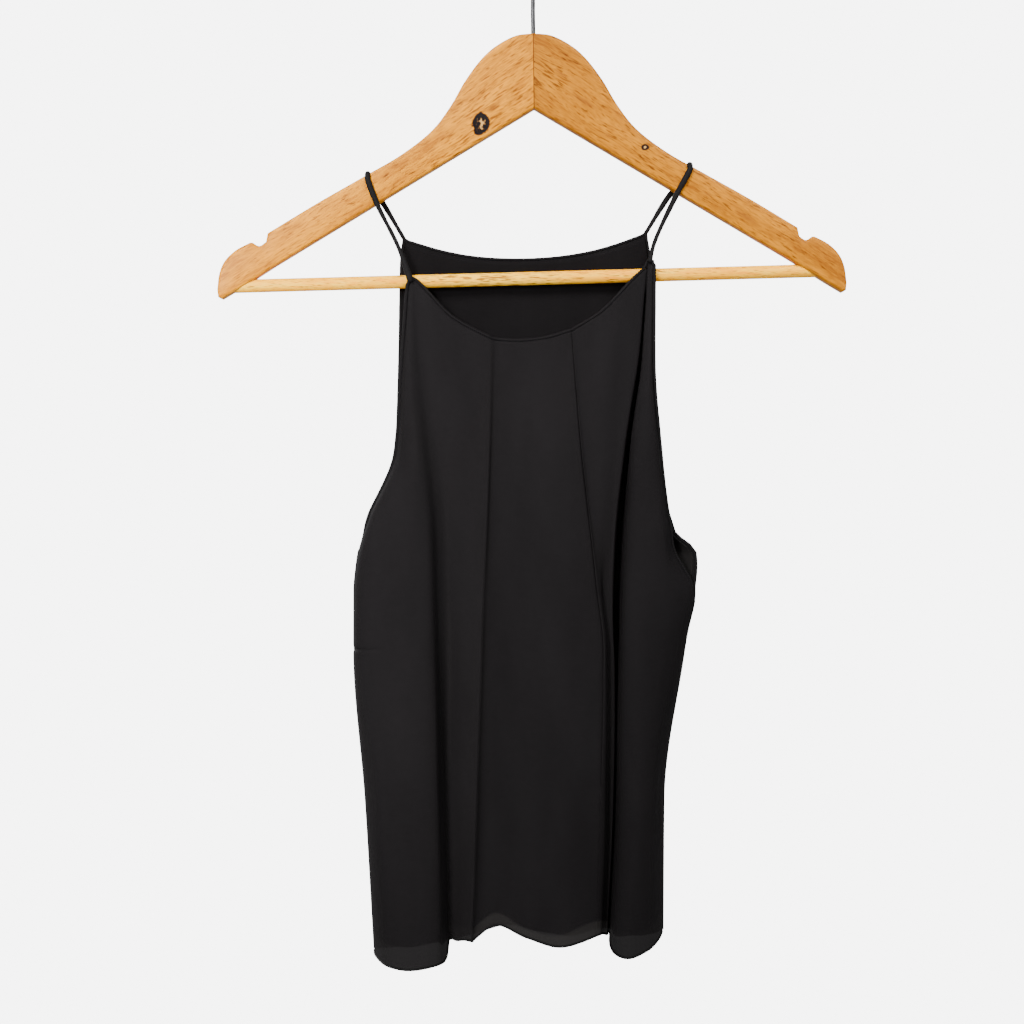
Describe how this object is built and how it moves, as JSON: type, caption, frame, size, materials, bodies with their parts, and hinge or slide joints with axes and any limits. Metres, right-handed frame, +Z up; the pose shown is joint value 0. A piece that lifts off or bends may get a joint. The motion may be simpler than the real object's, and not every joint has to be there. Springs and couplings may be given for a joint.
{
  "type": "chiffon blouse on a wooden hanger",
  "caption": "Sleeveless flared blouse of thin cloth with narrow straps, hung open on a flat wooden hanger with a trouser bar and a wire hook.",
  "frame": {"origin": "inner top of the hook's crook, where it rests on a rail", "axes": "+X across to the right as seen from the front, the blouse's front faces -Y, +Z up along its length"},
  "size_m": [0.4408, 0.0742, 0.727],
  "materials": {
    "chiffon": "matt, sheer",
    "lining": "matt",
    "trim": "matt, rolled bias",
    "arm_wood": "satin varnish",
    "bar_wood": "satin varnish",
    "steel_wire": "bright drawn wire"
  },
  "bodies": {
    "root": {"front": "chiffon", "back": "chiffon", "front_lining": "lining", "back_lining": "lining", "neck_binding_front": "trim", "neck_binding_back": "trim", "armhole_binding_left": "trim", "armhole_binding_right": "trim", "strap_left": "trim", "strap_right": "trim", "hanger_arm_left": "arm_wood", "hanger_arm_right": "arm_wood", "hanger_bar": "bar_wood", "hanger_hook": "steel_wire"}
  },
  "joints": []
}
